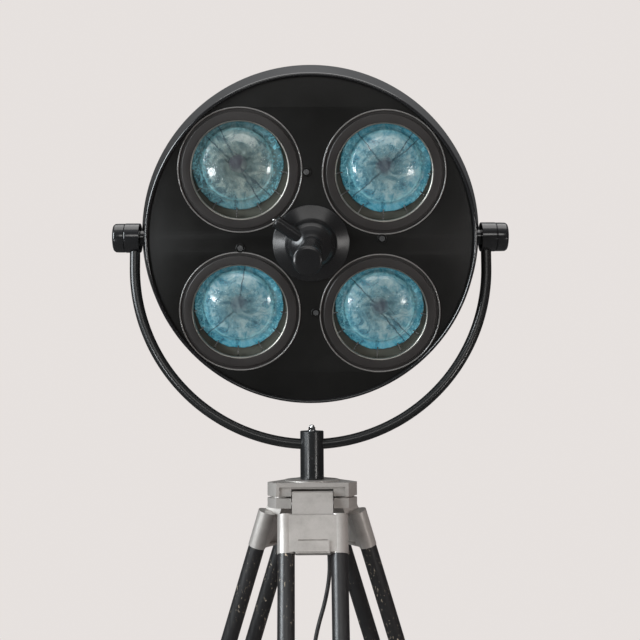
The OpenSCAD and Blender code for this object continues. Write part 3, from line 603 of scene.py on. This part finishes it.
A = AY * 1000
RUN_A = [[25.6, A - 4, 1076], [25.8, A - 4, 1062], [27.4, A - 4, 1046], [28.4, A - 4, 1028],
         [28, A - 4, 1008], [25, A - 4, 984], [19, A - 3, 956], [11, A - 2, 928], [4.5, A - 1, 900],
         [1, A, 870], [-1, A, 835], [-2, A, 780], [-2, A, 700], [-1, A, 600], [0, A, 480],
         [1, A, 360], [1, A, 240], [0, A + 1, 150], [0, A + 2, 90], [0, A + 7, 52],
         [-1, A + 18, 25], [-2, A + 34, 9], [-5, A + 53, 4.2], [-14, A + 70, 3.8],
         [-29, A + 84, 3.8], [-40.5, A + 98, 3.8], [-44, A + 113, 3.8]]
RUN_B = [[-46, A + 142, 17.2], [-43, A + 165, 17.6], [-35, A + 185, 18.2], [-21, A + 201, 18.8],
         [-4, A + 209, 19], [12, A + 211, 19]]
COIL = (0, A + 125)
TURNS = [(44, 3.8), (37, 3.8), (30, 3.8), (30, 10.5), (37, 10.5), (44, 10.5), (44, 17.2)]


def coil_points():
    """Seven turns, clockwise from the left: out to in on the floor, back out above, one on top."""
    out = []
    n = 30
    for i, (r, z) in enumerate(TURNS):
        r1, z1 = TURNS[min(i + 1, len(TURNS) - 1)]
        for k in range(n):
            t = k / n
            s = max(0.0, (t - 0.72) / 0.28)
            s = s * s * (3 - 2 * s)
            a = math.radians(180 - 360 * t)
            rr, zz = r + (r1 - r) * s, z + (z1 - z) * s
            out.append([COIL[0] + rr * math.cos(a), COIL[1] + rr * math.sin(a), zz])
    return out


coil = coil_points()
line = [p for p in spline(RUN_A, 4)] + [Vector(p) for p in coil] + \
       [Vector((COIL[0] - 44, COIL[1], 17.2)), Vector((COIL[0] - 45, COIL[1] + 8, 17.2))] + \
       [p for p in spline(RUN_B, 4)]
line = [Vector(p) * MM for p in line]
cu = bpy.data.curves.new("mains_cord", "CURVE")
cu.dimensions = "3D"
cu.bevel_depth = 0.0035
cu.bevel_resolution = 5
cu.use_fill_caps = True
sp = cu.splines.new("POLY")
sp.points.add(len(line) - 1)
for p, v in zip(sp.points, line):
    p.co = (*v, 1)
sp.use_smooth = True
cu.materials.append(rubber)
cord = link(bpy.data.objects.new("mains_cord", cu))
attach(cord, "tripod_head")
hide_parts("cord_run", "cord_coil")

# ------------------------------------------------------------------ lamp head
HEAD = (Matrix.Translation((0, AY, TZ)) @ Matrix.Rotation(TILT, 4, "X")
        @ Matrix.Rotation(math.pi / 2, 4, "X") @ Matrix.Translation((0, -0.003, 0)))
YOKE = Matrix.Translation((0, AY, TZ))
TRIPOD = Matrix.Translation((0, AY, PZ))
FACE = 49.0
HEAD_R, LIP_R = 290.4, 274.0
PITCH = 167.7
LENS_AZ = [134, 44, -46, 224]
BRACKET_AZ = [135, 45, -48, 0]


def wall_r(z):
    return HEAD_R - (HEAD_R - LIP_R - 2.6) * (z + 12) / 66


# back shell: spun, with a soft rolled joint to the ring
shell = lathe("shell_spun", fillet([
    (290.4, -15.6), (290.4, -18.4), (287.5, -24), (284.5, -33), (272, -48), (252, -63), (220, -78),
    (180, -90), (130, -98), (70, -101.5), (62, -102), (62, -99.5), (70, -99), (130, -95.5),
    (179, -87.5), (218.5, -75.8), (250, -61), (270, -46.2), (281.5, -31.8), (285, -20), (285, -15.6)],
    [0.6, 1.5, 6, 12, 25, 25, 40, 40, 60, 10, 0.5, 0.5, 10, 60, 40, 40, 25, 25, 12, 3, 0.3], 6),
    gloss_black, n=240, angle=40)
place(shell, HEAD, "lamp_head", "housing_shell", slot="gloss_black")

# front ring: slanted wall, rolled lip and the crease where it meets the face
ring_outline = ([(290.0, -15.4), (290.4, -14.6), (290.4, -12.6), (290.1, -11.6)]
                + [(wall_r(z), z) for z in (-6, 4, 16, 28, 40, 48, 51.5)]
                + arc(LIP_R, 53.4, 2.6, 0, 180, 14)
                + [(271.5, 51.2), (271.2, 49.25), (273.2, 49.15), (wall_r(49) - 2.6, 48.6), (286, -12), (285.2, -15.2)])
ring = lathe("front_ring", ring_outline, rim_black, n=288, angle=50)
place(ring, HEAD, "lamp_head", "rim_ring", slot="gloss_black")


def plate_with_holes(name, outer_r, z0, z1, holes, mat, soft=0.4, n=256):
    """A flat plate cut from a filled curve, with rounded edges at each hole."""
    c = bpy.data.curves.new(name, "CURVE")
    c.dimensions = "2D"
    c.fill_mode = "BOTH"
    c.extrude = (z1 - z0) / 2 * MM - soft * MM
    c.bevel_depth = soft * MM
    c.bevel_resolution = 3
    c.offset = -soft * MM
    for (x, y, r, k) in [(0, 0, outer_r, n)] + [(*h, 40 if h[2] < 20 else 160) for h in holes]:
        s = c.splines.new("POLY")
        s.points.add(k - 1)
        for i in range(k):
            a = 2 * math.pi * i / k
            s.points[i].co = ((x + r * math.cos(a)) * MM, (y + r * math.sin(a)) * MM, 0, 1)
        s.use_cyclic_u = True
    tmp = link(bpy.data.objects.new(name + "_tmp", c))
    bpy.context.view_layer.update()
    me = bpy.data.meshes.new_from_object(tmp.evaluated_get(bpy.context.evaluated_depsgraph_get()))
    bpy.data.objects.remove(tmp)
    for v in me.vertices:
        v.co.z += (z0 + z1) / 2 * MM
    bm = bmesh.new()
    bm.from_mesh(me)
    bmesh.ops.remove_doubles(bm, verts=bm.verts, dist=0.000003)
    bmesh.ops.recalc_face_normals(bm, faces=bm.faces)
    bm.to_mesh(me)
    bm.free()
    me.name = name
    me.materials.clear()
    me.materials.append(mat)
    sharp(me, 35)
    return link(bpy.data.objects.new(name, me))


screw_at = [(118.4 * math.cos(math.radians(3.7 + 90 * k)), 118.4 * math.sin(math.radians(3.7 + 90 * k)))
            for k in range(4)]
lens_at = [(PITCH * math.cos(math.radians(a)), PITCH * math.sin(math.radians(a))) for a in LENS_AZ]
plate = plate_with_holes("front_plate", 273.0, 46.5, FACE,
                         [(x, y, 100.4) for x, y in lens_at] + [(0, 0, 12.2)], face_black)
place(plate, HEAD, "lamp_head", "face_plate", slot="satin_black")


def at(x, y, az=0.0):
    return HEAD @ Matrix.Translation((x * MM, y * MM, 0)) @ Matrix.Rotation(math.radians(az), 4, "Z")


bead_metal = enamel("bead_worn", (0.13, 0.125, 0.12), 0.16, peel=0.02, coat=0.9, dust=0.02)
for i, (x, y) in enumerate(lens_at):
    bead = lathe(f"hole_bead_{i}", [(100.25, 46.9)] + arc(101.45, 49.35, 1.2, 180, 0, 12)
                 + [(102.75, 49.0), (102.6, 46.9)], bead_metal, n=192, angle=60)
    place(bead, at(x, y), "lamp_head", slot="satin_black")
for k, (x, y) in enumerate(screw_at):
    cup = lathe(f"screw_cup_{k}", fillet([(2.75, 46.6), (8.4, 46.6), (8.2, 49.1), (7.6, 50.6), (6.4, 50.9),
                                          (5.8, 49.9), (5.4, 49.35), (2.75, 49.35)], [0, 0, 0.6, 0.6, 0.5, 0.4, 0.3, 0.2], 4),
                face_black, n=48)
    place(cup, at(x, y), "lamp_head", slot="satin_black")

# bezels, the bright lip and tube inside them, the ledge, the glass with its ragged edge, the reflector and shield under
# it
def stack(x, y, i):
    """Where the glass and everything under it stands."""
    return HEAD @ Matrix.Translation(((x + SIDE[i]) * MM, (y + RISE) * MM, LIFT * MM))


for i, (x, y) in enumerate(lens_at):
    def ledge_edge(r, z, a, side=SIDE[i]):
        """The ledge's outer edge follows the tube; its hole follows the glass."""
        if r < 80:
            return r, z
        q = -RISE * math.sin(a) - side * math.cos(a)
        return q + math.sqrt(q * q + r * r - RISE * RISE - side * side), z

    bez = lathe(f"bezel_{i}", fillet([
        (81.3, 44), (81.3, 49.9), (81.8, 50.8), (88, 50.95), (94.6, 50.7), (95.6, 49.7), (95.6, 46.5),
        (103.4, 46.5), (103.4, 43.6), (91, 43.6), (91, 21), (88.4, 21), (88.4, 44)],
        [0.2, 0.3, 0.3, 6, 0.9, 0.7, 0.3, 0.5, 0.5, 0.5, 0.3, 0.3, 0.2], 5), bezel_black, n=256)
    place(bez, at(x, y), "lamp_head", *(["lens_bezels"] if i == 0 else []), slot="satin_black")
    lin = lathe(f"bezel_lip_{i}", [(81.2, 43.2), (79.2, 43.2), (79.0, 43.5), (79.0, 48.4)]
                + arc(80.9, 48.5, 1.9, 180, 84, 10) + [(81.2, 50.2)], liner_metal, n=256, angle=60)
    place(lin, at(x, y), "lamp_head", slot="bright_steel")
    tub = lathe(f"bezel_tube_{i}", [(87.9, 28.1), (87.9, 44.9), (88.3, 44.9), (88.3, 28.1)], tube_metal, n=256, angle=60)
    place(tub, at(x, y), "lamp_head", slot="bright_steel")
    led = lathe(f"bezel_ledge_{i}", [(73.6, 7.1), (73.6, 13.9), (87.8, 13.9), (87.8, 7.1)], ledge_grey, n=256,
                angle=60, wobble=ledge_edge)
    place(led, stack(x, y, i), "lamp_head", slot="satin_black")

    seed = 11.3 * (i + 1)

    def ragged(r, z, a, seed=seed):
        """Chipped, pressed edge and slightly uneven dome."""
        q = Vector((math.cos(a) * 3.2, math.sin(a) * 3.2, seed))
        fineq = Vector((math.cos(a) * 13, math.sin(a) * 13, seed + 5))
        e = max(0.0, (r - 65) / 11)
        r2 = r - e * (0.8 + 1.2 * noise.noise(q) + 1.0 * noise.noise(fineq))
        z2 = z + 0.35 * e * noise.noise(fineq * 1.3) + 0.5 * noise.noise(Vector((r * 0.05 * math.cos(a), r * 0.05 * math.sin(a), seed)))
        return r2, z2

    gl = lathe(f"heat_glass_{i}", fillet([
        (0, 30), (20, 29.4), (36, 27), (48, 23), (55, 18.4), (58, 14.8), (61, 14.05), (75.4, 14.05),
        (76.6, 15.2), (76.6, 18.3), (75.2, 19.3), (70, 19.45), (64.6, 19.3), (61.8, 20.6), (59.4, 24.4), (55.5, 27.4),
        (50, 29.6), (37, 33.4), (20, 35.6), (8, 36.15), (0, 36.2)],
        [0, 8, 10, 6, 4, 2, 1, 0.4, 0.8, 0.8, 1.2, 3, 1.8, 2, 2.5, 3, 6, 12, 16, 10, 0], 5), glasses[i],
        n=180, closed=False, angle=70, wobble=ragged)
    place(gl, stack(x, y, i), "lamp_head", *(["lens_glasses"] if i == 0 else []), slot="heat_glass")

    bowl = lathe(f"reflector_{i}", fillet(
        [(0, -44.7)] + [(74 * k / 12, -44.7 + 50 * (k / 12) ** 2) for k in range(1, 13)] + [(79, 5.8), (79, 6.9), (74.5, 6.9)]
        + [(74 * k / 12, -43.1 + 50 * (k / 12) ** 2) for k in range(12, 0, -1)] + [(0, -43.1)],
        0.0), reflector, n=120, closed=False, angle=60)
    place(bowl, stack(x, y, i), "lamp_head", *(["reflectors"] if i == 0 else []), slot="reflector_metal")

    # the shield under the glass: a dark, slightly ragged button
    def lumpy(r, z, a, seed=seed):
        q = Vector((math.cos(a) * 1.4, math.sin(a) * 1.4, seed + 20))
        return r * (1 + 0.16 * noise.noise(q)), z

    bs = lathe(f"lamp_shield_{i}", fillet([(0, 13.4), (15.2, 13.4), (15.8, 14.2), (15.2, 16), (10, 18.4), (0, 19.4)],
                                          [0, 0.4, 0.5, 1.5, 4, 0], 5), shield, n=64, closed=False, angle=60, wobble=lumpy)
    place(bs, stack(x, y, i), "lamp_head", *(["bulb_shields"] if i == 0 else []), slot="dark_steel")

# ------------------------------------------------------------------ hub and handle
bell = lathe("hub_bell_turned", fillet([
    (61.6, 49.6), (63.9, 49.6), (64.6, 50.5), (64.6, 52.0), (63.8, 53.0), (43.4, 60.0), (42.4, 61.2),
    (41, 66), (38, 72), (33, 78), (27, 83), (21, 87), (17.5, 90), (17, 93), (8.05, 93), (8.05, 72), (24, 71.5), (31, 69),
    (36.5, 63.5), (39, 58), (60, 51.2)],
    [0.4, 0.5, 0.6, 0.8, 0.8, 0.8, 0.9, 12, 14, 14, 12, 6, 2, 0.3, 0.3, 0.5, 3, 3, 2, 1, 0.5], 7),
    hub_black, n=192, angle=40)
place(bell, HEAD, "focus_handle", "hub_bell", slot="gloss_black")
GRIP = (HEAD @ Matrix.Translation((0, 0, 0.093)) @ Matrix.Rotation(math.radians(-2.9), 4, "Y")
        @ Matrix.Rotation(math.radians(0.6), 4, "X") @ Matrix.Translation((0, 0, -0.093)))
grip = lathe("grip_turned", [(9.6, 93.9), (14.6, 93.9), (15.2, 94.1), (15.55, 94.9)]
             + [(15.5 + 7.3 * (z - 93) / 127, z) for z in (100, 120, 140, 160, 180, 200, 214)]
             + [(22.75, 218.6), (22.5, 219.7), (22.1, 220.0), (0, 220.0), (0, 133), (9.6, 133)], hub_black, n=160, closed=True, angle=36)
place(grip, GRIP, "focus_handle", "handle_grip", slot="gloss_black")
ferrule = lathe("grip_ferrule", fillet([(8.1, 93.02), (15.6, 93.02), (16.4, 93.5), (16.4, 94.2), (15.2, 94.9), (8.1, 94.9)],
                                       [0.1, 0.4, 0.4, 0.4, 0.4, 0.1], 4), hub_black, n=96)
place(ferrule, HEAD, "focus_handle", slot="gloss_black")
cap = lathe("grip_cap_turned", [(0, 220), (22.1, 220.0), (22.6, 220.35), (22.8, 221), (22.8, 222.6)]
            + arc(19.8, 223.2, 3.0, 0, 78, 8) + [(19.2, 226.5), (18.6, 226.75), (16, 226.9), (0, 227.0)], hub_black,
            n=160, closed=False, angle=40)
place(cap, GRIP, "focus_handle", "handle_cap", slot="gloss_black")
LEVER = HEAD @ Matrix.Rotation(math.radians(145), 4, "Z") @ Matrix.Translation((0.020, 0, 0.076)) @ Matrix.Rotation(math.pi / 2, 4, "Y")
lever = lathe("lever_turned", fillet([(0, 0), (10, 0), (11, 4), (11, 46.5), (10.6, 49.6), (8.6, 51), (0, 51)],
                                     [0, 0.5, 2, 1.5, 1.8, 1.5, 0], 6), hub_black, n=64, closed=False)
place(lever, LEVER, "focus_handle", "focus_lever", slot="gloss_black")

# ------------------------------------------------------------------ yoke and pivots
arm = 352 - 300.5
pts = [(-300.5, 0, -19.6 - (arm - 19.6) * k / 4) for k in range(4)]
pts += [(-300.5 * math.cos(math.pi * k / 160), 0, -arm - 300.5 * math.sin(math.pi * k / 160)) for k in range(161)]
pts += [(300.5, 0, -arm + (arm - 19.6) * k / 4) for k in range(1, 5)]
yoke = tube("yoke_bent_tube", [Vector(p) * MM for p in pts], 8.75 * MM, yoke_black, 40)
place(yoke, YOKE, "yoke", "yoke_tube", slot="gloss_black")
for s, name in ((1, "r"), (-1, "l")):
    X = YOKE @ Matrix.Rotation(math.pi / 2 * s, 4, "Y")
    b = lathe(f"pivot_barrel_{name}", fillet([(14, 291), (24.6, 291), (25, 291.8), (25, 315.4), (24.6, 316.3), (14, 316.3)],
                                             [0.3, 0.7, 0.5, 0.5, 0.7, 0.3], 5), gloss_black, n=96)
    place(b, X, "yoke", *(["pivot_barrels"] if s == 1 else []), slot="gloss_black")
    c = lathe(f"pivot_cap_{name}", fillet([
        (23, 316.3), (23.4, 316.9), (24.3, 317.2), (24.6, 318), (24.6, 326), (24.3, 332.8), (22.0, 336.0), (12, 336.5), (0, 336.8),
        (0, 328.5), (17.5, 328.5), (17.5, 316.3)], [0.2, 0.2, 0.4, 0.6, 4, 3, 1.5, 4, 0, 0, 0.5, 0.3], 6), gloss_black, n=96, closed=False)
    place(c, X, "yoke", *(["pivot_caps"] if s == 1 else []), slot="gloss_black")

# ------------------------------------------------------------------ lights and floor
world = bpy.data.worlds.new("world")
scene.world = world
world.use_nodes = True
wt = world.node_tree
bg = wt.nodes["Background"]
bg.inputs[0].default_value = (0.795, 0.755, 0.735, 1)
bg.inputs[1].default_value = 1.0
bg2 = wt.nodes.new("ShaderNodeBackground")
tc = wt.nodes.new("ShaderNodeTexCoord")
sep = wt.nodes.new("ShaderNodeSeparateXYZ")
wt.links.new(tc.outputs["Generated"], sep.inputs[0])
half = wt.nodes.new("ShaderNodeMath")
half.operation = "MULTIPLY_ADD"
half.inputs[1].default_value = half.inputs[2].default_value = 0.5
wt.links.new(sep.outputs[2], half.inputs[0])
sky = wt.nodes.new("ShaderNodeValToRGB")
while len(sky.color_ramp.elements) < 5:
    sky.color_ramp.elements.new(0.5)
for el, (p, c) in zip(sky.color_ramp.elements, [(0.0, 0.16), (0.40, 0.07), (0.60, 0.06), (0.80, 0.22), (0.95, 0.80)]):
    el.position = p
    el.color = (c * 0.97, c * 0.98, c, 1)
wt.links.new(half.outputs[0], sky.inputs[0])
wt.links.new(sky.outputs[0], bg2.inputs[0])
bg2.inputs[1].default_value = 0.75
lp = wt.nodes.new("ShaderNodeLightPath")
mx = wt.nodes.new("ShaderNodeMixShader")
wt.links.new(lp.outputs["Is Camera Ray"], mx.inputs[0])
wt.links.new(bg2.outputs[0], mx.inputs[1])
wt.links.new(bg.outputs[0], mx.inputs[2])
wt.links.new(mx.outputs[0], wt.nodes["World Output"].inputs[0])
scene.view_settings.view_transform = "Standard"


def area(name, pos, target, w, h, watts, colour, gloss=True):
    d = bpy.data.lights.new(name, "AREA")
    d.shape = "RECTANGLE"
    d.size, d.size_y = w, h
    d.energy = watts
    d.color = colour
    o = link(bpy.data.objects.new(name, d))
    o.location = pos
    o.rotation_euler = (Vector(target) - Vector(pos)).to_track_quat("-Z", "Y").to_euler()
    o.visible_camera = False
    o.visible_glossy = gloss
    return o


area("window_left", (-2.3, -1.1, 2.05), (0, 0.05, 1.5), 1.2, 1.6, 84, (0.90, 0.96, 1.0))
area("window_right", (2.5, -1.1, 1.85), (0, 0.05, 1.45), 0.6, 1.2, 30, (1.0, 0.88, 0.86), False)
area("ceiling", (0, 0.1, 3.5), (0, 0.1, 1.2), 2.6, 2.0, 26, (1.0, 0.98, 0.96))
area("back_fill", (0.6, 3.2, 2.2), (0, 0.1, 1.2), 2.0, 1.6, 14, (1.0, 0.97, 0.94), False)
area("behind_camera", (0.1, -3.6, 2.35), (0, 0.1, 1.5), 2.4, 0.8, 17, (1.0, 0.99, 0.97))
area("low_left", (-1.05, -1.15, 1.0), (-0.1, 0.05, 1.6), 0.22, 0.26, 4.5, (0.95, 0.98, 1.0))
area("low_right", (1.05, -1.15, 1.0), (0.1, 0.05, 1.6), 0.20, 0.24, 3.0, (1.0, 0.97, 0.95))

floor_m = Mat("floor_pale", IOR=1.4)
fn = floor_m.noise(6, 4)
floor_m.set(Base_Color=floor_m.mix(fn, (0.66, 0.63, 0.61), (0.70, 0.67, 0.65)),
            Roughness=floor_m.remap(fn, 0.3, 0.7, 0.55, 0.7), Normal=floor_m.bump(floor_m.noise(80, 4), 0.05, 0.001))
floor = make("floor", [(3.2 * math.cos(2 * math.pi * k / 96), 3.2 * math.sin(2 * math.pi * k / 96), -0.0006) for k in range(96)],
             [tuple(range(96))], floor_m.m)
floor.visible_glossy = False
